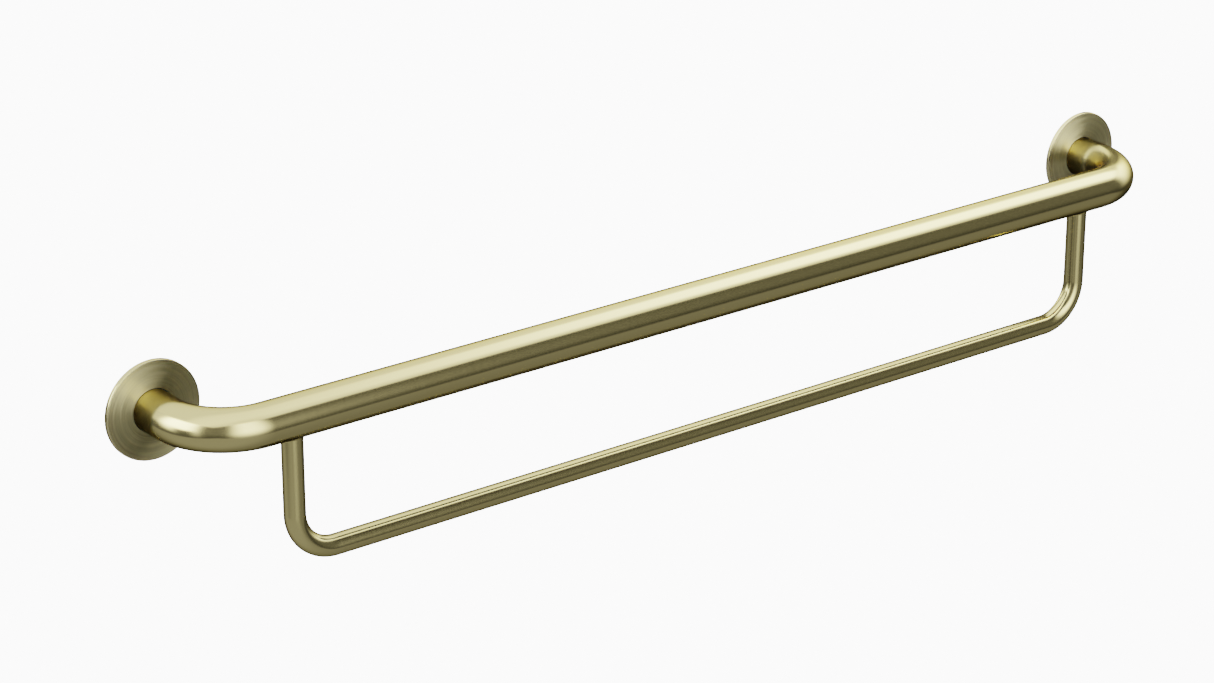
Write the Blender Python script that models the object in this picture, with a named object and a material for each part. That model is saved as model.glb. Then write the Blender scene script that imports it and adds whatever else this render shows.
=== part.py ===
"""Towel rack: a 32 mm wall rail with a slimmer towel rail welded under it.

The wall is the plane y = 0, the front faces -Y and +Z is up. The origin lies on the wall,
midway between the two flanges, at the height of the rail's axis. Units are metres.
"""
import math

import bmesh
import bpy
from mathutils import Vector

MM = 0.001

# Driving dimensions
FLANGE_SPACING = 900 * MM         # between the centres of the two flanges
PROJECTION = 71 * MM              # from the wall to the rail's axis
RAIL_RADIUS = 16 * MM
RAIL_WALL = 1.5 * MM
RAIL_BEND_RADIUS = 48 * MM
TOWEL_RADIUS = 8 * MM
TOWEL_WALL = 1.2 * MM
TOWEL_BEND_RADIUS = 33 * MM
TOWEL_DROP = 107 * MM             # from the rail's axis down to the towel rail's axis
LEG_INSET = 70 * MM               # from a flange's centre in to the leg beside it
COVER_RADIUS = 37.5 * MM
COVER_DEPTH = 3.5 * MM
COVER_SHEET = 0.8 * MM
PLATE_RADIUS = 34.6 * MM
PLATE_THICKNESS = 2.4 * MM
SCREW_CIRCLE_RADIUS = 24 * MM
SCREW_ANGLES = (90, 210, 330)     # degrees round the flange, from +X towards +Z
SCREW_HEAD_RADIUS = 4.5 * MM
SCREW_SHANK_RADIUS = 2.5 * MM
SCREW_LENGTH = 16 * MM
GAP = 0.3 * MM                    # left between pieces that touch

# Smaller details
COVER_EDGE_RADIUS = 1.0 * MM
WELD_SIZE = 1.2 * MM
WELD_PREPARATION = 1.6 * MM       # chamfer at the back of the plate's centre hole
TUBE_END_DEPTH = 0.3 * MM         # how far the rail's ends stop short of the wall
WELD_RECESS = 0.1 * MM            # how far the plate's weld stays behind the wall face
GRIP_RING_SECTION = 0.75 * MM     # radius of the rubber ring's round section
HOLE_RADIUS = 2.9 * MM
HEAD_RECESS = 0.1 * MM            # screw head below the plate's front face
HEAD_LAND = 0.15 * MM             # straight rim of the screw head
SCREW_TIP_CHAMFER = 0.7 * MM
SOCKET_DEPTH = 1.4 * MM
SOCKET_CORNER_RADIUS = 1.73 * MM  # hexagon socket for a 3 mm key
PLATE_EDGE_CHAMFER = 0.3 * MM

# Facets
RAIL_SEGMENTS = 32
TOWEL_SEGMENTS = 24
FLANGE_SEGMENTS = 48
SCREW_SEGMENTS = 18               # a multiple of 6, so that the socket's corners are exact
RING_SECTION_SEGMENTS = 6
BEND_STEPS = 9
SMOOTH_ANGLE = math.radians(35)

BRASS = (0.60, 0.53, 0.27, 1)
STEEL = (0.50, 0.50, 0.49, 1)
RUBBER = (0.03, 0.03, 0.03, 1)


def clear_scene():
    for old in list(bpy.data.objects):
        bpy.data.objects.remove(old, do_unlink=True)


def make_material(name, colour, roughness, metallic):
    material = bpy.data.materials.new(name)
    material.use_nodes = True
    shader = material.node_tree.nodes["Principled BSDF"]
    shader.inputs["Base Color"].default_value = colour
    shader.inputs["Roughness"].default_value = roughness
    shader.inputs["Metallic"].default_value = metallic
    return material


def make_empty(name, location):
    empty = bpy.data.objects.new(name, None)
    empty.location = location
    empty.empty_display_size = COVER_RADIUS
    bpy.context.scene.collection.objects.link(empty)
    return empty


def make_object(name, shape, material, parent=None, location=(0, 0, 0)):
    """Turn a closed bmesh into a smooth-shaded object, and free the bmesh."""
    bmesh.ops.recalc_face_normals(shape, faces=shape.faces)
    mesh = bpy.data.meshes.new(name)
    shape.to_mesh(mesh)
    shape.free()
    mesh.materials.append(material)
    mesh.shade_smooth()
    mesh.set_sharp_from_angle(angle=SMOOTH_ANGLE)
    thing = bpy.data.objects.new(name, mesh)
    thing.location = location
    thing.parent = parent
    bpy.context.scene.collection.objects.link(thing)
    return thing


def join_rings(shape, first, second):
    """Face the strip between two rings, either of which may be a single pole vertex."""
    count = max(len(first), len(second))
    for index in range(count):
        following = (index + 1) % count
        corners = [
            first[index % len(first)],
            first[following % len(first)],
            second[following % len(second)],
            second[index % len(second)],
        ]
        shape.faces.new(list(dict.fromkeys(corners)))


def hexagon_radius(corner_radius, angle):
    """Distance from the centre of a hexagon to its side, with a corner at angle 0."""
    sixth = math.pi / 3
    return corner_radius * math.cos(sixth / 2) / math.cos(angle % sixth - sixth / 2)


def turned_ring(shape, radius, depth, segments, hexagonal=False):
    """A ring of vertices round the Y axis, or one vertex where the radius is 0."""
    if radius == 0:
        return [shape.verts.new((0, depth, 0))]
    ring = []
    for index in range(segments):
        angle = 2 * math.pi * index / segments
        reach = hexagon_radius(radius, angle) if hexagonal else radius
        ring.append(shape.verts.new((reach * math.cos(angle), depth, reach * math.sin(angle))))
    return ring


def turned_loop(profile, segments):
    """Turn a closed outline of (radius, depth) points round the Y axis."""
    shape = bmesh.new()
    rings = [turned_ring(shape, radius, depth, segments) for radius, depth in profile]
    for first, second in zip(rings, rings[1:] + rings[:1]):
        join_rings(shape, first, second)
    return shape


def turned_pin(shape, profile, segments):
    """Turn an outline that runs from pole to pole; a point may ask for a hexagon."""
    rings = [turned_ring(shape, *point[:2], segments, *point[2:]) for point in profile]
    for first, second in zip(rings, rings[1:]):
        join_rings(shape, first, second)


def arc_points(centre, radius, start, end, steps):
    """Points (radius, depth) along an arc, with its angles in degrees."""
    points = []
    for step in range(steps + 1):
        angle = math.radians(start + (end - start) * step / steps)
        points.append((centre[0] + radius * math.cos(angle), centre[1] + radius * math.sin(angle)))
    return points


def rounded_path(corners, bend_radius):
    """Stations (point, tangent) along straight runs with square corners bent round."""
    start, end = corners[0], corners[-1]
    stations = [(start, (corners[1] - start).normalized())]
    for before, corner, after in zip(corners, corners[1:], corners[2:]):
        run_in = (corner - before).normalized()
        run_out = (after - corner).normalized()
        centre = corner + (run_out - run_in) * bend_radius
        for step in range(BEND_STEPS + 1):
            angle = math.pi / 2 * step / BEND_STEPS
            reach = run_in * math.sin(angle) - run_out * math.cos(angle)
            tangent = run_in * math.cos(angle) + run_out * math.sin(angle)
            stations.append((centre + reach * bend_radius, tangent))
    stations.append((end, (end - corners[-2]).normalized()))
    return stations


def swept_rings(shape, stations, normal, radius, segments):
    """Rings of vertices along a path that lies in the plane with the given normal."""
    rings = []
    for point, tangent in stations:
        across = tangent.cross(normal)
        ring = []
        for index in range(segments):
            angle = 2 * math.pi * index / segments
            reach = normal * math.cos(angle) + across * math.sin(angle)
            ring.append(shape.verts.new(point + reach * radius))
        rings.append(ring)
    return rings


def bent_tube(stations, normal, radius, wall, segments):
    """A hollow tube with open ends, and its outer and inner rings of vertices."""
    shape = bmesh.new()
    outer = swept_rings(shape, stations, normal, radius, segments)
    inner = swept_rings(shape, stations, normal, radius - wall, segments)
    for skin in (outer, inner):
        for first, second in zip(skin, skin[1:]):
            join_rings(shape, first, second)
    join_rings(shape, outer[0], inner[0])
    join_rings(shape, outer[-1], inner[-1])
    return shape, outer, inner


def saddle_height(offset):
    """Height, clear of the rail's underside, at a distance from its axis across it."""
    return -math.sqrt((RAIL_RADIUS + GAP) ** 2 - offset ** 2)


def make_rail(material):
    """The main tube: out from the wall, along, and back to the wall."""
    side = FLANGE_SPACING / 2
    corners = [
        Vector((-side, -TUBE_END_DEPTH, 0)),
        Vector((-side, -PROJECTION, 0)),
        Vector((side, -PROJECTION, 0)),
        Vector((side, -TUBE_END_DEPTH, 0)),
    ]
    stations = rounded_path(corners, RAIL_BEND_RADIUS)
    shape, _, _ = bent_tube(stations, Vector((0, 0, 1)), RAIL_RADIUS, RAIL_WALL, RAIL_SEGMENTS)
    return make_object("rail_tube", shape, material)


def make_towel_rail(material):
    """The U-shaped tube below, its two top ends coped to the rail's underside."""
    side = FLANGE_SPACING / 2 - LEG_INSET
    top = saddle_height(0)
    corners = [
        Vector((-side, -PROJECTION, top)),
        Vector((-side, -PROJECTION, -TOWEL_DROP)),
        Vector((side, -PROJECTION, -TOWEL_DROP)),
        Vector((side, -PROJECTION, top)),
    ]
    stations = rounded_path(corners, TOWEL_BEND_RADIUS)
    shape, outer, inner = bent_tube(
        stations, Vector((0, 1, 0)), TOWEL_RADIUS, TOWEL_WALL, TOWEL_SEGMENTS
    )
    for ring in (outer[0], inner[0], outer[-1], inner[-1]):
        for vertex in ring:
            vertex.co.z = saddle_height(vertex.co.y + PROJECTION)
    return make_object("towel_rail", shape, material)


def make_leg_weld(name, leg_x, material):
    """The fillet weld that runs round a leg where it meets the rail."""
    shape = bmesh.new()
    inner_radius = TOWEL_RADIUS + GAP
    sections = []
    for index in range(TOWEL_SEGMENTS):
        angle = 2 * math.pi * index / TOWEL_SEGMENTS
        section = []
        for radius, drop in ((inner_radius, 0), (inner_radius + WELD_SIZE, 0), (inner_radius, WELD_SIZE)):
            across = radius * math.sin(angle)
            height = saddle_height(across) - drop
            section.append(shape.verts.new((radius * math.cos(angle), across, height)))
        sections.append(section)
    for first, second in zip(sections, sections[1:] + sections[:1]):
        join_rings(shape, first, second)
    return make_object(name, shape, material, location=(leg_x, -PROJECTION, 0))


def countersink_cutter(name, parent):
    """The three countersunk screw holes of one plate, as one cutter."""
    shape = bmesh.new()
    beyond = 1 * MM
    cone_end = PLATE_THICKNESS - HEAD_RECESS - HEAD_LAND - GAP * math.sqrt(2)
    wide = SCREW_HEAD_RADIUS + PLATE_THICKNESS - cone_end + beyond
    narrow_depth = SCREW_HEAD_RADIUS - cone_end - HOLE_RADIUS
    profile = [
        (0, -PLATE_THICKNESS - beyond),
        (wide, -PLATE_THICKNESS - beyond),
        (HOLE_RADIUS, narrow_depth),
        (HOLE_RADIUS, beyond),
        (0, beyond),
    ]
    for angle in SCREW_ANGLES:
        first_new = len(shape.verts)
        turned_pin(shape, profile, SCREW_SEGMENTS)
        shape.verts.ensure_lookup_table()
        bmesh.ops.translate(shape, vec=screw_place(angle), verts=shape.verts[first_new:])
    cutter = make_object(name, shape, make_material(name, STEEL, 0.5, 0), parent)
    cutter.hide_render = True
    cutter.display_type = "WIRE"
    return cutter


def screw_place(angle):
    """Where a screw's axis crosses the wall, from the flange's centre."""
    turn = math.radians(angle)
    return Vector((SCREW_CIRCLE_RADIUS * math.cos(turn), 0, SCREW_CIRCLE_RADIUS * math.sin(turn)))


def make_mounting_plate(side, flange, material):
    """The steel disc that is screwed to the wall and carries the rail's end."""
    bore = RAIL_RADIUS + GAP
    profile = [
        (bore, -PLATE_THICKNESS),
        (PLATE_RADIUS - PLATE_EDGE_CHAMFER, -PLATE_THICKNESS),
        (PLATE_RADIUS, -PLATE_THICKNESS + PLATE_EDGE_CHAMFER),
        (PLATE_RADIUS, 0),
        (bore + WELD_PREPARATION, 0),
        (bore, -WELD_PREPARATION),
    ]
    plate = make_object(
        side + "_mounting_plate", turned_loop(profile, FLANGE_SEGMENTS), material, flange
    )
    holes = plate.modifiers.new("screw_holes", "BOOLEAN")
    holes.operation = "DIFFERENCE"
    holes.solver = "EXACT"
    holes.object = countersink_cutter(side + "_hole_cutter", flange)
    return plate


def make_plate_weld(side, flange, material):
    """The weld that fills the chamfer between the rail's end and the plate."""
    inner = RAIL_RADIUS + GAP
    size = WELD_PREPARATION - GAP * math.sqrt(2)
    profile = [
        (inner, -WELD_RECESS),
        (inner + size - WELD_RECESS, -WELD_RECESS),
        (inner, -size),
    ]
    shape = turned_loop(profile, FLANGE_SEGMENTS)
    return make_object(side + "_plate_weld", shape, material, flange)


def make_cover(side, flange, material):
    """The pressed cup that slides along the rail and hides the plate and screws."""
    bore = RAIL_RADIUS + GAP
    edge = (COVER_RADIUS - COVER_EDGE_RADIUS, -COVER_DEPTH + COVER_EDGE_RADIUS)
    outer_edge = arc_points(edge, COVER_EDGE_RADIUS, -90, 0, 3)
    inner_edge = arc_points(edge, COVER_EDGE_RADIUS - COVER_SHEET, 0, -90, 1)
    profile = [(bore, -COVER_DEPTH)]
    profile += outer_edge
    profile += [(COVER_RADIUS, 0), (COVER_RADIUS - COVER_SHEET, 0)]
    profile += inner_edge
    profile += [(bore, -COVER_DEPTH + COVER_SHEET)]
    shape = turned_loop(profile, FLANGE_SEGMENTS)
    return make_object(side + "_cover_flange", shape, material, flange)


def make_grip_ring(side, flange, material):
    """The rubber ring round the plate's edge that the cover's rim grips."""
    centre = (PLATE_RADIUS + GAP + GRIP_RING_SECTION, -PLATE_THICKNESS / 2)
    section = arc_points(centre, GRIP_RING_SECTION, 0, 360, RING_SECTION_SEGMENTS)[:-1]
    shape = turned_loop(section, FLANGE_SEGMENTS)
    return make_object(side + "_cover_grip_ring", shape, material, flange)


def screw_shape():
    """A countersunk machine screw along Y, head in the plate and tip in the wall."""
    top = -PLATE_THICKNESS + HEAD_RECESS
    tip = top + SCREW_LENGTH
    cone_end = top + HEAD_LAND + SCREW_HEAD_RADIUS - SCREW_SHANK_RADIUS
    profile = [
        (0, top + SOCKET_DEPTH),
        (SOCKET_CORNER_RADIUS, top + SOCKET_DEPTH, True),
        (SOCKET_CORNER_RADIUS, top, True),
        (SCREW_HEAD_RADIUS, top),
        (SCREW_HEAD_RADIUS, top + HEAD_LAND),
        (SCREW_SHANK_RADIUS, cone_end),
        (SCREW_SHANK_RADIUS, tip - SCREW_TIP_CHAMFER),
        (SCREW_SHANK_RADIUS - SCREW_TIP_CHAMFER, tip),
        (0, tip),
    ]
    shape = bmesh.new()
    turned_pin(shape, profile, SCREW_SEGMENTS)
    return shape


def make_screws(side, flange, material):
    """The three screws that hold one plate to the wall."""
    for number, angle in enumerate(SCREW_ANGLES, start=1):
        name = side + "_fixing_screw_" + str(number)
        make_object(name, screw_shape(), material, flange, screw_place(angle))


def build():
    clear_scene()
    rail_brass = make_material("rail_brass", BRASS, 0.26, 1)
    towel_brass = make_material("towel_rail_brass", BRASS, 0.26, 1)
    cover_brass = make_material("cover_brass", BRASS, 0.22, 1)
    weld_brass = make_material("weld_brass", BRASS, 0.35, 1)
    plate_steel = make_material("plate_steel", STEEL, 0.38, 1)
    screw_steel = make_material("screw_steel", STEEL, 0.30, 1)
    grip_rubber = make_material("grip_rubber", RUBBER, 0.75, 0)

    make_rail(rail_brass)
    make_towel_rail(towel_brass)
    for side, sign in (("left", -1), ("right", 1)):
        flange_x = sign * FLANGE_SPACING / 2
        flange = make_empty(side + "_flange", (flange_x, 0, 0))
        make_mounting_plate(side, flange, plate_steel)
        make_plate_weld(side, flange, weld_brass)
        make_grip_ring(side, flange, grip_rubber)
        make_screws(side, flange, screw_steel)
        make_cover(side, flange, cover_brass)
        make_leg_weld(side + "_leg_weld", flange_x - sign * LEG_INSET, weld_brass)


build()
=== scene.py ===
"""The looks of the towel rack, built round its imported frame.

Metres, in the frame's own axes: the wall is y = 0, the front faces -Y and +Z is up.
"""
import math

import bmesh
import bpy
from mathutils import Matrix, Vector


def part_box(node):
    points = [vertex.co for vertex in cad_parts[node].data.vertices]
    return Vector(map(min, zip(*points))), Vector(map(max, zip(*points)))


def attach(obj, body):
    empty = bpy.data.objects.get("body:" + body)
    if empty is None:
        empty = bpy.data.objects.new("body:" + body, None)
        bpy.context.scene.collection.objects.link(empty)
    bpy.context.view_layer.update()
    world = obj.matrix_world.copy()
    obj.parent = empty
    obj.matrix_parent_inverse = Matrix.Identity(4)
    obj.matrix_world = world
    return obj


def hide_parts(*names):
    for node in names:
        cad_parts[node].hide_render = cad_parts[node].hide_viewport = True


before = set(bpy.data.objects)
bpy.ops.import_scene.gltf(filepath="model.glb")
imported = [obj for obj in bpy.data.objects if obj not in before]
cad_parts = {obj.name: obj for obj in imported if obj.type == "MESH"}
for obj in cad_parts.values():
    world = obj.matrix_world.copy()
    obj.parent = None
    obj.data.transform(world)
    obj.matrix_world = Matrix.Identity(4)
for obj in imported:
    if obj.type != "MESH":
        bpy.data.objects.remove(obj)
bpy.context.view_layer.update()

MM = 0.001
UM = 0.000001
TURN = 2 * math.pi

# Sizes read from the frame
rail_low, rail_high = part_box("rail_tube")
RAIL_RADIUS = (rail_high.z - rail_low.z) / 2
RAIL_Y = rail_low.y + RAIL_RADIUS          # the rail's axis, in front of the wall
RAIL_END_Y = rail_high.y
FLANGE_X = rail_high.x - RAIL_RADIUS
towel_low, towel_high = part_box("towel_rail")
TOWEL_RADIUS = (towel_high.y - towel_low.y) / 2
TOWEL_Z = towel_low.z + TOWEL_RADIUS
LEG_X = towel_high.x - TOWEL_RADIUS
cover_low, cover_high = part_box("left_cover_flange")
COVER_RADIUS = (cover_high.x - cover_low.x) / 2
COVER_DEPTH = cover_high.y - cover_low.y
plate_low, plate_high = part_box("left_mounting_plate")
PLATE_RADIUS = (plate_high.x - plate_low.x) / 2
PLATE_THICKNESS = plate_high.y - plate_low.y
ring_low, ring_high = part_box("left_cover_grip_ring")
RING_OUTER_RADIUS = (ring_high.x - ring_low.x) / 2

# Sizes that the frame's boxes don't give
RAIL_WALL = 1.5 * MM
RAIL_BEND_RADIUS = 48 * MM
TOWEL_WALL = 1.2 * MM
TOWEL_BEND_RADIUS = 33 * MM
BORE_RADIUS = RAIL_RADIUS + 0.3 * MM
COVER_SHEET = 0.8 * MM
COVER_EDGE_RADIUS = 1 * MM
COVER_LIP = 0.25 * MM                      # rounding of the bore's edge and of the rim's back
LEG_WELD_SIZE = 1.1 * MM
PLATE_EDGE_CHAMFER = 0.3 * MM
WELD_CHAMFER = 1.6 * MM
WELD_CROWN = 0.25 * MM                     # how far the plate's weld bulges
WELD_RIPPLE = 0.16 * MM
WELD_RIPPLES = 44
GRIP_RING_SECTION = 0.75 * MM
GRIP_RING_BITE = 0.05 * MM                 # how far it presses into the plate's edge
PARTING_LINE = 0.05 * MM
SCREW_HEAD_RADIUS = 4.5 * MM
SCREW_SHANK_RADIUS = 2.5 * MM
SCREW_HOLE_RADIUS = 2.9 * MM
SCREW_HEAD_RIM = 0.15 * MM                 # height of the rim, its chamfer included
SCREW_HEAD_CHAMFER = 0.12 * MM
SCREW_TIP_CHAMFER = 0.7 * MM
COUNTERSINK_RADIUS = 5.25 * MM             # at the plate's front face
THREAD_PITCH = 0.8 * MM
THREAD_DEPTH = 0.4 * MM
THREAD_STEPS = 8                           # rings per pitch
SOCKET_CORNER_RADIUS = 1.73 * MM
SOCKET_DEPTH = 1.4 * MM
SOCKET_CHAMFER = 0.15 * MM
SOCKET_POINT = 0.3 * MM                    # the drilled cone in its floor

RAIL_SEGMENTS = 96
TOWEL_SEGMENTS = 72
FLANGE_SEGMENTS = 192
SCREW_SEGMENTS = 36
BEND_STEPS = 40
SMOOTH_ANGLE = 40                          # degrees: sharper edges show as edges
HOLE_SMOOTH_ANGLE = 35
WELD_SMOOTH_ANGLE = 60
GROOVES = "brushing"                       # UV map: first along the tube or radius, then round it

# Colours, linear
BRASS = (0.80, 0.70, 0.32)
BRASS_WARM = (0.80, 0.675, 0.285)
BRASS_RAW = (0.34, 0.27, 0.12)
COVER_BRASS = (0.80, 0.715, 0.375)
COVER_BRASS_WARM = (0.80, 0.70, 0.345)
COVER_STREAK_LIGHT = (0.86, 0.765, 0.40)
COVER_STREAK_DARK = (0.71, 0.625, 0.315)
BRASS_AT_EDGES = (0.68, 0.57, 0.32)        # tints what it reflects at a grazing angle
STEEL = (0.56, 0.56, 0.54)
STEEL_DARK = (0.42, 0.42, 0.41)
STEEL_SCORCHED = (0.40, 0.34, 0.26)
RUBBER = (0.018, 0.018, 0.018)
RUBBER_GREY = (0.035, 0.034, 0.033)

# The camera, past the rack's left end, in front of it and above it
VIEW_AZIMUTH = math.radians(37.42)         # turned from straight ahead, towards +X
VIEW_ELEVATION = math.radians(21.95)
VIEW_DISTANCE = 2.586
VIEW_AIM = Vector((-0.104, RAIL_Y, -0.0113))
LENS = 103.65
SENSOR = 36

WHITE_LEVEL = 6.0                          # radiance that the view transform shows as white
FLOOR_HEIGHT = -1.0
FLOOR_HALF_WIDTH = 30

# The soft light over the rack
OVERHEAD_HEIGHT = 86 * MM                  # above the rail's axis
OVERHEAD_FRONT = 76 * MM                   # its front edge, in front of the rail's axis
OVERHEAD_LENGTH = 1.08
OVERHEAD_SOFT_EDGE = 10 * MM
OVERHEAD_SHEET = ((-0.75, -0.3), (0.75, 0.5))  # two corners: the light ends before all but the back

# The studio as a reflection of a reflection shows it
LATER_ROOM = 0.06                          # share of the room's dim light
LATER_PANEL = 9.0                          # radiance of a panel in front that shows only there
LATER_OVERHEAD = 0.02                      # share of the overhead light


class Graph:
    """Short calls for making and joining shader nodes."""

    def __init__(self, tree):
        self.nodes = tree.nodes
        self.links = tree.links

    def node(self, kind, **settings):
        made = self.nodes.new(kind)
        for name, value in settings.items():
            setattr(made, name, value)
        return made

    def put(self, socket, value):
        """Set a socket, or join it to another one."""
        if isinstance(value, bpy.types.NodeSocket):
            self.links.new(value, socket)
        else:
            socket.default_value = value

    def math(self, operation, *values):
        made = self.node("ShaderNodeMath", operation=operation)
        for socket, value in zip(made.inputs, values):
            self.put(socket, value)
        return made.outputs[0]

    def product(self, *values):
        result = values[0]
        for value in values[1:]:
            result = self.math("MULTIPLY", result, value)
        return result

    def sum(self, *weighted, start):
        """start plus each value times its weight."""
        result = start
        for value, weight in weighted:
            result = self.math("MULTIPLY_ADD", value, weight, result)
        return result

    def ramp(self, value, low, high, start=0.0, end=1.0):
        """A smooth step of value from low to high, giving start to end."""
        made = self.node("ShaderNodeMapRange", interpolation_type="SMOOTHSTEP")
        falling = low > high
        limits = (high, low, end, start) if falling else (low, high, start, end)
        for socket, number in zip(made.inputs, (value, *limits)):
            self.put(socket, number)
        return made.outputs[0]

    def blend(self, factor, first, second):
        """first where factor is 0 and second where it is 1."""
        made = self.node("ShaderNodeMix", data_type="FLOAT")
        for socket, value in zip((made.inputs[0], made.inputs[2], made.inputs[3]), (factor, first, second)):
            self.put(socket, value)
        return made.outputs[0]

    def colours(self, factor, first, second):
        """The same blend between two colours."""
        made = self.node("ShaderNodeMix", data_type="RGBA")
        self.put(made.inputs[0], factor)
        self.put(made.inputs[6], (*first, 1))
        self.put(made.inputs[7], (*second, 1))
        return made.outputs[2]

    def noise(self, vector, scale, detail=2.0, roughness=0.5):
        made = self.node("ShaderNodeTexNoise")
        self.put(made.inputs["Vector"], vector)
        self.put(made.inputs["Scale"], scale)
        self.put(made.inputs["Detail"], detail)
        self.put(made.inputs["Roughness"], roughness)
        return made.outputs["Fac"]

    def stretched(self, vector, scale):
        made = self.node("ShaderNodeMapping")
        self.put(made.inputs["Vector"], vector)
        self.put(made.inputs["Scale"], scale)
        return made.outputs["Vector"]

    def bump(self, shader, height, depth):
        """Relief on the shader's surface, as deep as depth where height goes from 0 to 1."""
        made = self.node("ShaderNodeBump")
        self.put(made.inputs["Strength"], 1.0)
        self.put(made.inputs["Distance"], depth)
        self.put(made.inputs["Height"], height)
        self.put(shader.inputs["Normal"], made.outputs[0])


# Materials

def new_material(name):
    """A material, short calls for its nodes, and its shader."""
    material = bpy.data.materials.new(name)
    material.use_nodes = True
    return material, Graph(material.node_tree), material.node_tree.nodes["Principled BSDF"]


def brushed_brass(
    name, light, dark, roughness, anisotropy, groove_width, groove_depth, wander=0.0, streaks=0.0
):
    """Brass brushed across the UV map's first direction, so round a tube or in circles on a disc.
    wander is how far the grooves' direction strays, in turns, and streaks is the share of the
    colour that follows the grooves. The rest goes in broad patches."""
    material, graph, shader = new_material(name)
    shader.distribution = "GGX"
    place = graph.node("ShaderNodeUVMap", uv_map=GROOVES).outputs[0]
    tone = graph.noise(graph.node("ShaderNodeTexCoord").outputs["Object"], 18, 3)
    fine = graph.noise(graph.stretched(place, (1 / groove_width, 9, 1)), 1, 3, 0.65)
    broad = graph.noise(graph.stretched(place, (0.22 / groove_width, 4, 1)), 1, 2)
    streak = graph.math("ADD", fine, broad)
    if streaks:
        grooves = graph.sum((fine, 0.7), (broad, 0.3), start=0.0)
        tone = graph.blend(streaks, tone, graph.ramp(grooves, 0.35, 0.65))
    graph.put(shader.inputs["Base Color"], graph.colours(tone, light, dark))
    graph.put(shader.inputs["Metallic"], 1.0)
    graph.put(shader.inputs["Specular Tint"], (*BRASS_AT_EDGES, 1))
    graph.put(shader.inputs["Roughness"], graph.ramp(fine, 0.3, 0.7, roughness * 0.93, roughness * 1.07))
    graph.put(shader.inputs["Anisotropic"], anisotropy)
    if wander:
        stray = graph.ramp(fine, 0.3, 0.7, -wander, wander)
        graph.put(shader.inputs["Anisotropic Rotation"], stray)
    tangent = graph.node("ShaderNodeTangent", direction_type="UV_MAP", uv_map=GROOVES)
    graph.put(shader.inputs["Tangent"], tangent.outputs[0])
    graph.bump(shader, streak, groove_depth)
    return material


def plain_metal(name, light, dark, roughness, grain, depth):
    """Unpolished metal with blotches and a fine grain: how many to the metre, and how deep."""
    material, graph, shader = new_material(name)
    place = graph.node("ShaderNodeTexCoord").outputs["Object"]
    blotch = graph.noise(place, 130, 4)
    fine = graph.noise(place, grain, 3, 0.6)
    graph.put(shader.inputs["Base Color"], graph.colours(graph.ramp(blotch, 0.35, 0.65), light, dark))
    graph.put(shader.inputs["Metallic"], 1.0)
    graph.put(shader.inputs["Roughness"], graph.ramp(fine, 0.3, 0.7, roughness - 0.06, roughness + 0.08))
    graph.bump(shader, fine, depth)
    return material


def rubber(name):
    """Matte black rubber with a moulded grain."""
    material, graph, shader = new_material(name)
    place = graph.node("ShaderNodeTexCoord").outputs["Object"]
    grain = graph.noise(place, 2500, 3)
    graph.put(shader.inputs["Base Color"], graph.colours(graph.noise(place, 300), RUBBER, RUBBER_GREY))
    graph.put(shader.inputs["Roughness"], graph.ramp(grain, 0.3, 0.7, 0.6, 0.8))
    graph.bump(shader, grain, 10 * UM)
    return material


# Mesh building

def new_piece(name, shape, materials, body, node, place=(0, 0, 0), smooth_angle=SMOOTH_ANGLE):
    """Make a piece from a bmesh, put it in place of its CAD node and let it ride on a body."""
    bmesh.ops.recalc_face_normals(shape, faces=shape.faces)
    mesh = bpy.data.meshes.new(name)
    shape.to_mesh(mesh)
    shape.free()
    for material in materials:
        mesh.materials.append(material)
    return place_piece(name, mesh, body, node, place, smooth_angle)


def place_piece(name, mesh, body, node, place, smooth_angle):
    """The same for a finished mesh, which several pieces may share."""
    mesh.shade_smooth()
    mesh.set_sharp_from_angle(angle=math.radians(smooth_angle))
    piece = bpy.data.objects.new(name, mesh)
    piece.location = place
    bpy.context.scene.collection.objects.link(piece)
    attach(piece, body)
    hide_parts(node)
    return piece


def skin(shape, rings, lengths, girth, material=0):
    """Faces between rings of equal size, with a UV map of lengths along and girth round."""
    layer = shape.loops.layers.uv.get(GROOVES) or shape.loops.layers.uv.new(GROOVES)
    count = len(rings[0])
    step = girth / count
    for near, far, start, end in zip(rings, rings[1:], lengths, lengths[1:]):
        for index in range(count):
            after = (index + 1) % count
            face = shape.faces.new((near[index], near[after], far[after], far[index]))
            face.material_index = material
            left = index * step
            right = left + step
            for loop, place in zip(face.loops, ((start, left), (start, right), (end, right), (end, left))):
                loop[layer].uv = place


def cap(shape, ring, pole):
    """A fan of triangles from a ring to a pole vertex."""
    for vertex, after in zip(ring, ring[1:] + ring[:1]):
        shape.faces.new((vertex, after, pole))


def running_lengths(points):
    """Distance along a row of points, counted from the first."""
    lengths = [0.0]
    for before, after in zip(points, points[1:]):
        lengths.append(lengths[-1] + (Vector(after) - Vector(before)).length)
    return lengths


def rounded_path(corners, bend_radius):
    """Stations (point, tangent) along straight runs with square corners bent round."""
    stations = [(corners[0], (corners[1] - corners[0]).normalized())]
    for before, corner, after in zip(corners, corners[1:], corners[2:]):
        run_in = (corner - before).normalized()
        run_out = (after - corner).normalized()
        centre = corner + (run_out - run_in) * bend_radius
        for step in range(BEND_STEPS + 1):
            angle = math.pi / 2 * step / BEND_STEPS
            reach = run_in * math.sin(angle) - run_out * math.cos(angle)
            tangent = run_in * math.cos(angle) + run_out * math.sin(angle)
            stations.append((centre + reach * bend_radius, tangent))
    stations.append((corners[-1], (corners[-1] - corners[-2]).normalized()))
    return stations


def swept_rings(shape, stations, normal, radius, segments):
    """Rings round a path that lies flat across the normal."""
    rings = []
    for point, tangent in stations:
        across = tangent.cross(normal)
        ring = []
        for index in range(segments):
            angle = TURN * index / segments
            reach = normal * math.cos(angle) + across * math.sin(angle)
            ring.append(shape.verts.new(point + reach * radius))
        rings.append(ring)
    return rings


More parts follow.
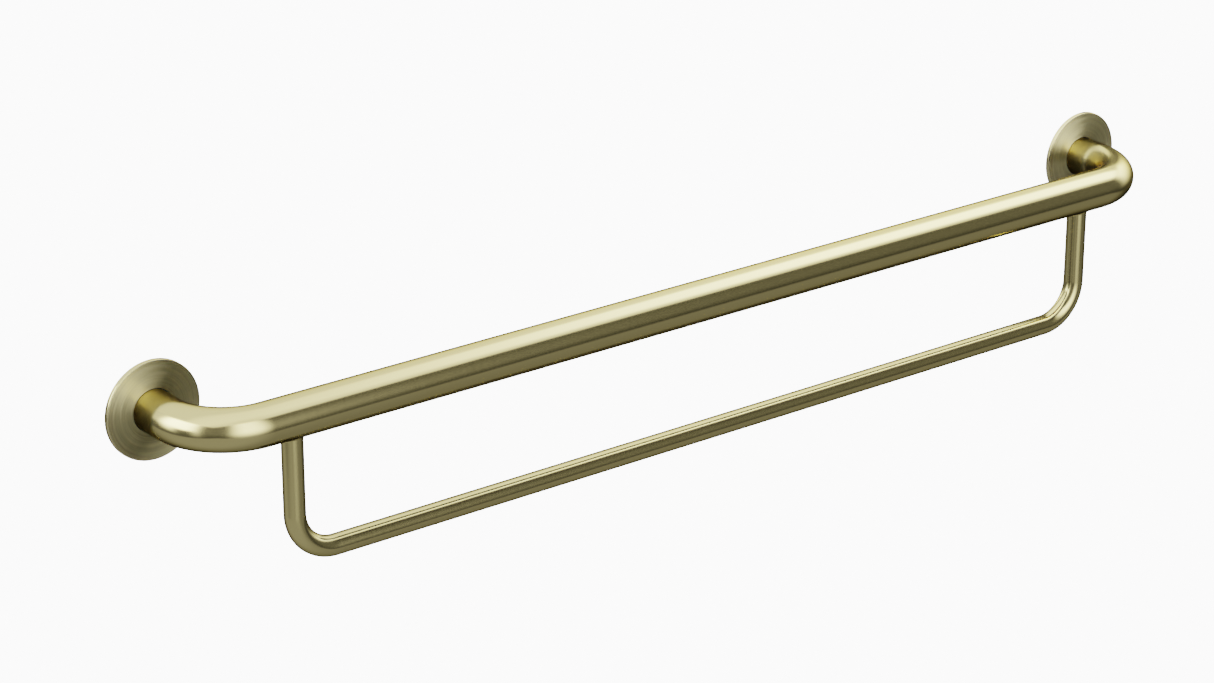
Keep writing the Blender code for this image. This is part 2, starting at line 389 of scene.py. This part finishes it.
def bent_tube(stations, normal, radius, wall, segments):
    """A hollow tube with open ends, brushed outside and raw inside."""
    shape = bmesh.new()
    lengths = running_lengths([point for point, _ in stations])
    outer = swept_rings(shape, stations, normal, radius, segments)
    inner = swept_rings(shape, stations, normal, radius - wall, segments)
    skin(shape, outer, lengths, TURN * radius)
    skin(shape, inner, lengths, TURN * radius, 1)
    skin(shape, [outer[0], inner[0]], [0, wall], TURN * radius, 1)
    skin(shape, [outer[-1], inner[-1]], [0, wall], TURN * radius, 1)
    return shape, outer, inner


def vertex_round_y(shape, radius, angle, depth):
    return shape.verts.new((radius * math.cos(angle), depth, radius * math.sin(angle)))


def turned_rings(shape, profile, segments):
    """Rings round the Y axis through points (radius, depth)."""
    rings = []
    for radius, depth in profile:
        ring = []
        for index in range(segments):
            ring.append(vertex_round_y(shape, radius, TURN * index / segments, depth))
        rings.append(ring)
    return rings


def turned_loop(profile, segments):
    """A closed outline of (radius, depth) points turned round the Y axis."""
    shape = bmesh.new()
    rings = turned_rings(shape, profile, segments)
    points = [(radius, depth, 0) for radius, depth in profile]
    lengths = running_lengths(points + points[:1])
    girth = TURN * max(radius for radius, _ in profile)
    skin(shape, rings + rings[:1], lengths, girth)
    return shape


def arc_points(centre, radius, start, end, steps):
    """Points (radius, depth) along an arc, with its angles in degrees."""
    points = []
    for step in range(steps + 1):
        angle = math.radians(start + (end - start) * step / steps)
        points.append((centre[0] + radius * math.cos(angle), centre[1] + radius * math.sin(angle)))
    return points


# The pieces

def saddle_height(across):
    """Height of the rail's underside at a distance from its axis."""
    return -math.sqrt(RAIL_RADIUS ** 2 - across ** 2)


def make_rail(brass, raw_brass):
    corners = [
        Vector((-FLANGE_X, RAIL_END_Y, 0)),
        Vector((-FLANGE_X, RAIL_Y, 0)),
        Vector((FLANGE_X, RAIL_Y, 0)),
        Vector((FLANGE_X, RAIL_END_Y, 0)),
    ]
    stations = rounded_path(corners, RAIL_BEND_RADIUS)
    shape, _, _ = bent_tube(stations, Vector((0, 0, 1)), RAIL_RADIUS, RAIL_WALL, RAIL_SEGMENTS)
    return new_piece("main_rail", shape, [brass, raw_brass], "rack", "rail_tube")


def make_towel_rail(brass, raw_brass):
    """The U-shaped tube, with its top ends coped into the rail's underside."""
    corners = [
        Vector((-LEG_X, RAIL_Y, -RAIL_RADIUS)),
        Vector((-LEG_X, RAIL_Y, TOWEL_Z)),
        Vector((LEG_X, RAIL_Y, TOWEL_Z)),
        Vector((LEG_X, RAIL_Y, -RAIL_RADIUS)),
    ]
    stations = rounded_path(corners, TOWEL_BEND_RADIUS)
    shape, outer, inner = bent_tube(
        stations, Vector((0, 1, 0)), TOWEL_RADIUS, TOWEL_WALL, TOWEL_SEGMENTS
    )
    for ring in (outer[0], inner[0], outer[-1], inner[-1]):
        for vertex in ring:
            vertex.co.z = saddle_height(vertex.co.y - RAIL_Y)
    return new_piece(
        "towel_bar", shape, [brass, raw_brass], "rack", "towel_rail"
    )


def make_leg_weld(side, leg_x, brass):
    """The small hollow fillet between a leg and the rail, closed inside them."""
    shape = bmesh.new()
    section = []
    steps = 8
    for step in range(steps + 1):
        angle = math.pi / 2 * step / steps
        out = TOWEL_RADIUS + LEG_WELD_SIZE * (1 - math.sin(angle))
        section.append((out, LEG_WELD_SIZE * (1 - math.cos(angle))))
    in_leg = TOWEL_RADIUS - TOWEL_WALL / 2
    in_rail = -RAIL_WALL / 2
    section += [(in_leg, LEG_WELD_SIZE), (in_leg, in_rail), (TOWEL_RADIUS + LEG_WELD_SIZE, in_rail)]
    rings = []
    for radius, drop in section:
        ring = []
        for index in range(TOWEL_SEGMENTS):
            angle = TURN * index / TOWEL_SEGMENTS
            across = radius * math.sin(angle)
            height = saddle_height(across) - drop
            ring.append(shape.verts.new((radius * math.cos(angle), across, height)))
        rings.append(ring)
    lengths = running_lengths([(radius, drop, 0) for radius, drop in section + section[:1]])
    skin(shape, rings + rings[:1], lengths, TURN * TOWEL_RADIUS)
    name = side + "_leg_weld"
    return new_piece(
        name + "_bead", shape, [brass], "rack", name, (leg_x, RAIL_Y, 0), WELD_SMOOTH_ANGLE
    )


def make_cover(side, centre_x, face_brass, edge_brass):
    """The pressed cup: a face brushed in circles, a smoother turned edge and a soft-edged bore."""
    bore_edge = (BORE_RADIUS + COVER_LIP, -COVER_DEPTH + COVER_LIP)
    edge = (COVER_RADIUS - COVER_EDGE_RADIUS, -COVER_DEPTH + COVER_EDGE_RADIUS)
    profile = arc_points(bore_edge, COVER_LIP, 180, 270, 4)
    profile += arc_points(edge, COVER_EDGE_RADIUS, -90, 0, 10)
    profile += [
        (COVER_RADIUS, -COVER_LIP),
        (COVER_RADIUS - COVER_LIP, 0),
        (COVER_RADIUS - COVER_SHEET, 0),
    ]
    profile += arc_points(edge, COVER_EDGE_RADIUS - COVER_SHEET, 0, -90, 3)
    profile += [(BORE_RADIUS, -COVER_DEPTH + COVER_SHEET)]
    shape = turned_loop(profile, FLANGE_SEGMENTS)
    for face in shape.faces:
        middle = face.calc_center_median()
        if math.hypot(middle.x, middle.z) > COVER_RADIUS - COVER_EDGE_RADIUS:
            face.material_index = 1
    body = side + "_cover"
    node = side + "_cover_flange"
    materials = [face_brass, edge_brass]
    return new_piece(body, shape, materials, body, node, (centre_x, 0, 0))


def countersink(x, z):
    """A solid of the space that one screw head and shank take in the plate."""
    shape = bmesh.new()
    beyond = 1 * MM
    profile = [
        (COUNTERSINK_RADIUS + beyond, -PLATE_THICKNESS - beyond),
        (SCREW_HOLE_RADIUS, COUNTERSINK_RADIUS - SCREW_HOLE_RADIUS - PLATE_THICKNESS),
        (SCREW_HOLE_RADIUS, beyond),
    ]
    rings = turned_rings(shape, profile, 2 * SCREW_SEGMENTS)
    skin(shape, rings, running_lengths([(*point, 0) for point in profile]), TURN * SCREW_HOLE_RADIUS)
    for ring in (rings[0], rings[-1]):
        cap(shape, ring, shape.verts.new((0, ring[0].co.y, 0)))
    bmesh.ops.recalc_face_normals(shape, faces=shape.faces)
    mesh = bpy.data.meshes.new("countersink")
    shape.to_mesh(mesh)
    shape.free()
    cutter = bpy.data.objects.new("countersink", mesh)
    cutter.location = (x, 0, z)
    bpy.context.scene.collection.objects.link(cutter)
    return cutter


def make_plate(side, centre_x, screws, steel):
    """The welded steel disc with its three countersunk holes cut out."""
    corner = PLATE_EDGE_CHAMFER
    profile = [(BORE_RADIUS, -PLATE_THICKNESS)]
    profile += arc_points((PLATE_RADIUS - corner, corner - PLATE_THICKNESS), corner, -90, 0, 4)
    profile += arc_points((PLATE_RADIUS - corner, -corner), corner, 0, 90, 4)
    profile += [(BORE_RADIUS + WELD_CHAMFER, 0), (BORE_RADIUS, -WELD_CHAMFER)]
    shape = turned_loop(profile, FLANGE_SEGMENTS)
    node = side + "_mounting_plate"
    plate = new_piece(
        side + "_wall_plate", shape, [steel], "rack", node, (centre_x, 0, 0)
    )
    cutters = [countersink(x, z) for x, z in screws]
    for cutter in cutters:
        hole = plate.modifiers.new("hole", "BOOLEAN")
        hole.operation = "DIFFERENCE"
        hole.solver = "EXACT"
        hole.object = cutter
    bpy.context.view_layer.update()
    solid = plate.evaluated_get(bpy.context.evaluated_depsgraph_get())
    plate.data = bpy.data.meshes.new_from_object(solid)
    plate.modifiers.clear()
    for cutter in cutters:
        bpy.data.objects.remove(cutter)
    plate.data.set_sharp_from_angle(angle=math.radians(HOLE_SMOOTH_ANGLE))
    return plate


def make_plate_weld(side, centre_x, steel):
    """The rippled bead in the chamfer between the rail's end and the plate's back."""
    shape = bmesh.new()
    per_ripple = 6
    segments = WELD_RIPPLES * per_ripple
    overlap = 0.1 * MM                         # on the rail's end and on the plate's back
    inner_depth = -0.6 * MM
    rise = 0.4 * MM
    rings = []
    steps = 8
    for step in range(steps + 1):
        along = step / steps                   # from the rail's end to the plate
        swell = math.sin(math.pi * along)
        radius = RAIL_RADIUS - overlap + (WELD_CHAMFER + 2 * overlap) * along
        ring = []
        for index in range(segments):
            phase = index % per_ripple / per_ripple - 0.5 + 0.25 * swell
            crest = WELD_RIPPLE * (1 - (2 * phase) ** 2)
            depth = inner_depth + rise * along + (WELD_CROWN + crest) * swell
            ring.append(vertex_round_y(shape, radius, TURN * index / segments, depth))
        rings.append(ring)
    deep = turned_rings(shape, [(BORE_RADIUS, -WELD_CHAMFER)], segments)[0]
    loop = rings + [deep] + rings[:1]
    lengths = [MM * number / 4 for number in range(len(loop))]
    skin(shape, loop, lengths, TURN * RAIL_RADIUS)
    node = side + "_plate_weld"
    return new_piece(
        node + "_bead", shape, [steel], "rack", node, (centre_x, 0, 0), WELD_SMOOTH_ANGLE
    )


def make_grip_ring(side, centre_x, material):
    """The rubber ring stretched round the plate's edge, with the fine parting line of its mould.
    The inner half of its section reaches in to the plate."""
    middle = (RING_OUTER_RADIUS - GRIP_RING_SECTION, -PLATE_THICKNESS / 2)
    stretch = (middle[0] - PLATE_RADIUS + GRIP_RING_BITE) / GRIP_RING_SECTION
    section = []
    for radius, depth in arc_points(middle, GRIP_RING_SECTION, 6, 354, 24):
        if radius < middle[0]:
            radius = middle[0] + (radius - middle[0]) * stretch
        section.append((radius, depth))
    section.append((RING_OUTER_RADIUS + PARTING_LINE, -PLATE_THICKNESS / 2))
    shape = turned_loop(section, FLANGE_SEGMENTS)
    node = side + "_cover_grip_ring"
    return new_piece(
        side + "_grip_ring", shape, [material], "rack", node, (centre_x, 0, 0)
    )


def hexagon_ring(shape, corner_radius, depth):
    """A ring on the outline of a hexagon round the Y axis."""
    sixth = TURN / 6
    ring = []
    for index in range(SCREW_SEGMENTS):
        angle = TURN * index / SCREW_SEGMENTS
        reach = corner_radius * math.cos(sixth / 2) / math.cos(angle % sixth - sixth / 2)
        ring.append(vertex_round_y(shape, reach, angle, depth))
    return ring


def threaded_rings(shape, start, end):
    """Rings along the shank whose radius follows a helical thread, fading out at both ends."""
    rings = []
    slope = 2.4                                # of the groove's flanks, which leaves a flat crest
    count = round((end - start) / THREAD_PITCH * THREAD_STEPS)
    for step in range(count + 1):
        depth = start + (end - start) * step / count
        fade = min(1, step / THREAD_STEPS, (count - step) / THREAD_STEPS)
        ring = []
        for index in range(SCREW_SEGMENTS):
            phase = (step / THREAD_STEPS - index / SCREW_SEGMENTS) % 1
            groove = THREAD_DEPTH * fade * max(0, 1 - abs(phase - 0.5) * slope)
            angle = TURN * index / SCREW_SEGMENTS
            ring.append(vertex_round_y(shape, SCREW_SHANK_RADIUS - groove, angle, depth))
        rings.append(ring)
    return rings


def screw_mesh(top, tip, steel):
    """A countersunk screw with a hexagon socket and a cut thread, along the Y axis."""
    shape = bmesh.new()
    cone_start = top + SCREW_HEAD_RIM
    cone_end = cone_start + SCREW_HEAD_RADIUS - SCREW_SHANK_RADIUS
    thread_start = cone_end + 0.3 * MM
    rings = [
        hexagon_ring(shape, SOCKET_CORNER_RADIUS, top + SOCKET_DEPTH),
        hexagon_ring(shape, SOCKET_CORNER_RADIUS, top + SOCKET_CHAMFER),
        hexagon_ring(shape, SOCKET_CORNER_RADIUS + SOCKET_CHAMFER, top),
    ]
    head = [
        (SCREW_HEAD_RADIUS - SCREW_HEAD_CHAMFER, top),
        (SCREW_HEAD_RADIUS, top + SCREW_HEAD_CHAMFER),
        (SCREW_HEAD_RADIUS, cone_start),
        (SCREW_SHANK_RADIUS, cone_end),
    ]
    rings += turned_rings(shape, head, SCREW_SEGMENTS)
    rings += threaded_rings(shape, thread_start, tip - SCREW_TIP_CHAMFER)
    rings += turned_rings(shape, [(SCREW_SHANK_RADIUS - SCREW_TIP_CHAMFER, tip)], SCREW_SEGMENTS)
    lengths = [MM * number / 4 for number in range(len(rings))]
    skin(shape, rings, lengths, TURN * SCREW_SHANK_RADIUS)
    socket_floor = shape.verts.new((0, top + SOCKET_DEPTH + SOCKET_POINT, 0))
    end = shape.verts.new((0, tip, 0))
    cap(shape, rings[0], socket_floor)
    cap(shape, rings[-1], end)
    bmesh.ops.recalc_face_normals(shape, faces=shape.faces)
    mesh = bpy.data.meshes.new("countersunk_screw")
    shape.to_mesh(mesh)
    shape.free()
    mesh.materials.append(steel)
    return mesh


def screw_places(side):
    """Node name, x and z of each screw of one plate."""
    places = []
    for number in (1, 2, 3):
        node = side + "_fixing_screw_" + str(number)
        low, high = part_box(node)
        places.append((node, (low.x + high.x) / 2, (low.z + high.z) / 2))
    return places


def make_rack():
    """Every piece of the rack, with its materials."""
    tube_finish = {
        "roughness": 0.156,
        "anisotropy": 0.37,
        "groove_width": 0.9 * MM,
        "groove_depth": 0.8 * UM,
    }
    rail_brass = brushed_brass("rail_brushed_brass", BRASS, BRASS_WARM, **tube_finish)
    towel_brass = brushed_brass("towel_rail_brushed_brass", BRASS, BRASS_WARM, **tube_finish)
    face_brass = brushed_brass(
        "cover_circle_brushed_brass",
        COVER_STREAK_LIGHT,
        COVER_STREAK_DARK,
        roughness=0.5,
        anisotropy=1.0,
        groove_width=1.4 * MM,
        groove_depth=20 * UM,
        wander=0.04,
        streaks=0.8,
    )
    edge_brass = brushed_brass(
        "cover_turned_edge_brass",
        COVER_BRASS,
        COVER_BRASS_WARM,
        roughness=0.2,
        anisotropy=0.3,
        groove_width=0.4 * MM,
        groove_depth=0.8 * UM,
    )
    weld_brass = brushed_brass(
        "dressed_weld_brass",
        BRASS,
        BRASS_WARM,
        roughness=0.26,
        anisotropy=0.0,
        groove_width=0.5 * MM,
        groove_depth=10 * UM,
    )
    raw_brass = plain_metal(
        "raw_brass_bore", BRASS_WARM, BRASS_RAW, roughness=0.45, grain=1500, depth=10 * UM
    )
    plate_steel = plain_metal(
        "plate_mill_steel", STEEL, STEEL_DARK, roughness=0.36, grain=1800, depth=6 * UM
    )
    weld_steel = plain_metal(
        "plate_weld_steel", STEEL, STEEL_SCORCHED, roughness=0.30, grain=1200, depth=10 * UM
    )
    screw_steel = plain_metal(
        "screw_stainless", STEEL, STEEL_DARK, roughness=0.24, grain=2500, depth=4 * UM
    )
    grip_rubber = rubber("grip_ring_rubber")

    make_rail(rail_brass, raw_brass)
    make_towel_rail(towel_brass, raw_brass)
    low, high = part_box("left_fixing_screw_1")
    screw = screw_mesh(low.y, high.y, screw_steel)
    for side, sign in (("left", -1), ("right", 1)):
        centre_x = sign * FLANGE_X
        places = screw_places(side)
        make_plate(side, centre_x, [(x, z) for _, x, z in places], plate_steel)
        make_plate_weld(side, centre_x, weld_steel)
        make_grip_ring(side, centre_x, grip_rubber)
        make_cover(side, centre_x, face_brass, edge_brass)
        make_leg_weld(side, sign * LEG_X, weld_brass)
        for node, x, z in places:
            place_piece(
                node + "_bolt", screw, "rack", node, (x, 0, z), HOLE_SMOOTH_ANGLE
            )


# The studio

def near(graph, place, middle, far_away, close_by):
    """0 to 1 as place comes from far_away to close_by of the middle, on either side of it."""
    distance = graph.math("ABSOLUTE", graph.sum((place, 1.0), start=-middle))
    return graph.ramp(distance, far_away, close_by)


def soft_panels(graph, height, back, right, on_side):
    """A bright panel in the middle of each wall, stronger behind the rack and to its left."""
    edges = graph.blend(on_side, near(graph, right, -0.05, 0.66, 0.08), near(graph, back, 0.15, 0.7, 0.2))
    strength = graph.sum((back, 1.45), (right, -0.8), start=4.4)
    lowest = graph.sum((height, 1.0), (back, -0.22), (right, -0.08), start=0.0)

    # The left panel's low middle is left out, or the rail would go white when it is seen end on
    left_middle = graph.product(
        graph.math("LESS_THAN", right, -0.99),
        near(graph, back, -0.05, 0.4, 0.1),
    )
    return graph.product(
        strength,
        edges,
        graph.ramp(lowest, -0.34, 0.42),
        graph.ramp(height, 1.6, 1.05),
        graph.blend(left_middle, 1.0, graph.ramp(height, 0.0, 0.2)),
    )


def dim_room(graph, x, y, height, back, right):
    """Grey walls, lightest high up behind the rack's left end, and a floor that is lighter at the
    front left and nearly black at the back right."""
    front_wall = graph.product(
        graph.ramp(right, -1, 1, 0.16, 0.10),
        graph.ramp(height, -0.45, 0.1, 0.35, 1),
        graph.ramp(height, 0.4, 1.4, 1, 0.4),
    )
    back_wall = graph.blend(
        graph.ramp(right, -0.3, 0.4),
        graph.ramp(height, -0.05, 0.3, 0.1, 1.05),
        graph.ramp(height, -0.1, 0.5, 0.10, 0.16),
    )
    wall = graph.blend(graph.ramp(back, -0.4, 0.5), front_wall, back_wall)
    aside = graph.sum((x, 0.75), (y, 0.45), start=0.0)
    behind = graph.sum((x, 0.6), (y, 0.8), start=0.0)
    near_floor = graph.ramp(aside, -0.4, 0.2, 0.31, 0.175)
    floor = graph.blend(graph.ramp(behind, 0.15, 0.65), near_floor, 0.03)
    return graph.blend(graph.ramp(height, -0.52, -0.38), floor, wall)


def make_world():
    """A square studio round the rack, dim with soft panels. A reflection of a reflection shows it
    dimmer, with one panel in front, and the camera sees plain white past the floor."""
    world = bpy.data.worlds.new("studio")
    bpy.context.scene.world = world
    world.use_nodes = True
    graph = Graph(world.node_tree)
    split = graph.node("ShaderNodeSeparateXYZ")
    graph.put(split.inputs[0], graph.node("ShaderNodeTexCoord").outputs["Generated"])
    x, y, z = split.outputs

    # Places on the walls, which are at -1 and 1: height, towards the back and to the right
    size_x = graph.math("ABSOLUTE", x)
    size_y = graph.math("ABSOLUTE", y)
    reach = graph.math("MAXIMUM", size_x, size_y)
    height = graph.math("DIVIDE", z, reach)
    back = graph.math("DIVIDE", y, reach)
    right = graph.math("DIVIDE", x, reach)
    on_side = graph.math("GREATER_THAN", size_x, size_y)

    room = dim_room(graph, x, y, height, back, right)
    light = graph.math("ADD", room, soft_panels(graph, height, back, right, on_side))
    later_panel = graph.product(
        graph.math("LESS_THAN", back, -0.99),
        near(graph, right, -0.05, 0.66, 0.26),
        graph.ramp(height, 0.15, 0.4),
        graph.ramp(height, 2.4, 1.6),
    )
    later_light = graph.sum((room, LATER_ROOM), (later_panel, LATER_PANEL), start=0.0)
    path = graph.node("ShaderNodeLightPath")
    later = graph.math("GREATER_THAN", path.outputs["Ray Depth"], 2.5)
    reflected = graph.blend(later, light, later_light)
    shown = graph.blend(path.outputs["Is Camera Ray"], reflected, WHITE_LEVEL)
    graph.put(graph.nodes["Background"].inputs["Color"], (1, 1, 1, 1))
    graph.put(graph.nodes["Background"].inputs["Strength"], shown)


def flat_mesh(name, low, high, height):
    """One rectangle facing up, between two corners (x, y)."""
    mesh = bpy.data.meshes.new(name)
    corners = [(low[0], low[1]), (high[0], low[1]), (high[0], high[1]), (low[0], high[1])]
    mesh.from_pydata([(x, y, height) for x, y in corners], [], [(0, 1, 2, 3)])
    return mesh


def overhead_light():
    """Emission with soft edges and a hotter strip over the rail, stronger to the right. Its front
    part has a louvre, so that it lights what is below it and not what is beside it."""
    material = bpy.data.materials.new("overhead_light")
    material.use_nodes = True
    graph = Graph(material.node_tree)
    graph.nodes.remove(graph.nodes["Principled BSDF"])
    split = graph.node("ShaderNodeSeparateXYZ")
    graph.put(split.inputs[0], graph.node("ShaderNodeNewGeometry").outputs["Position"])
    x = split.outputs[0]
    y = graph.math("SUBTRACT", split.outputs[1], RAIL_Y)
    soft = OVERHEAD_SOFT_EDGE
    half = OVERHEAD_LENGTH / 2
    cover = graph.product(
        graph.ramp(y, -OVERHEAD_FRONT - soft, -OVERHEAD_FRONT + soft),
        graph.ramp(x, -half - soft, -half + soft),
        graph.ramp(x, half + soft, half - soft),
    )
    broad = graph.product(
        graph.blend(graph.ramp(y, -0.07, 0.05), 1.35, graph.ramp(x, -0.45, 0.25, 1.2, 2.0)),
        graph.ramp(y, 0.11, 0.4, 1, 0.12),
    )
    strip = graph.product(
        graph.ramp(x, -0.42, 0.25, 0.4, 3.0),
        graph.ramp(y, -0.064, -0.03),
        graph.ramp(y, 0.036, 0.011),
    )
    slant = graph.node("ShaderNodeLayerWeight").outputs["Facing"]
    louvre = graph.blend(graph.ramp(y, 0.05, 0.09), graph.ramp(slant, 0.65, 0.35), 1.0)
    later = graph.math("GREATER_THAN", graph.node("ShaderNodeLightPath").outputs["Ray Depth"], 1.5)
    light = graph.product(
        graph.math("ADD", broad, strip),
        louvre,
        graph.blend(later, 1.0, LATER_OVERHEAD),
    )
    emission = graph.node("ShaderNodeEmission")
    graph.put(emission.inputs["Strength"], light)
    mix = graph.node("ShaderNodeMixShader")
    graph.put(mix.inputs[0], cover)
    graph.put(mix.inputs[1], graph.node("ShaderNodeBsdfTransparent").outputs[0])
    graph.put(mix.inputs[2], emission.outputs[0])
    graph.put(graph.nodes["Material Output"].inputs["Surface"], mix.outputs[0])
    return material


def make_overhead():
    """The soft light hung close over the rack, which the camera doesn't see."""
    mesh = flat_mesh("overhead", *OVERHEAD_SHEET, OVERHEAD_HEIGHT)
    mesh.materials.append(overhead_light())
    overhead = bpy.data.objects.new("overhead", mesh)
    overhead.visible_camera = False
    overhead.visible_shadow = False
    bpy.context.scene.collection.objects.link(overhead)


def make_floor():
    """A wide pale floor, well below the rack, that doesn't show in its reflections."""
    half = FLOOR_HALF_WIDTH
    mesh = flat_mesh("floor", (-half, -half), (half, half), FLOOR_HEIGHT)
    material, graph, shader = new_material("pale_floor")
    graph.put(shader.inputs["Base Color"], (0.9, 0.9, 0.89, 1))
    graph.put(shader.inputs["Roughness"], 0.9)
    graph.put(shader.inputs["Emission Color"], (1, 1, 1, 1))
    graph.put(shader.inputs["Emission Strength"], WHITE_LEVEL)
    mesh.materials.append(material)
    floor = bpy.data.objects.new("floor", mesh)
    floor.visible_glossy = False
    floor.visible_diffuse = False
    floor.visible_shadow = False
    bpy.context.scene.collection.objects.link(floor)


def make_camera():
    data = bpy.data.cameras.new("camera")
    data.sensor_width = SENSOR
    data.lens = LENS
    camera = bpy.data.objects.new("camera", data)
    level = math.cos(VIEW_ELEVATION)
    forward = Vector((
        math.sin(VIEW_AZIMUTH) * level,
        math.cos(VIEW_AZIMUTH) * level,
        -math.sin(VIEW_ELEVATION),
    ))
    camera.location = VIEW_AIM - forward * VIEW_DISTANCE
    camera.rotation_euler = (math.pi / 2 - VIEW_ELEVATION, 0, -VIEW_AZIMUTH)
    bpy.context.scene.collection.objects.link(camera)
    bpy.context.scene.camera = camera


make_rack()
make_world()
make_overhead()
make_floor()
make_camera()
bpy.context.scene.view_settings.view_transform = "Filmic"
bpy.context.scene.view_settings.look = "None"
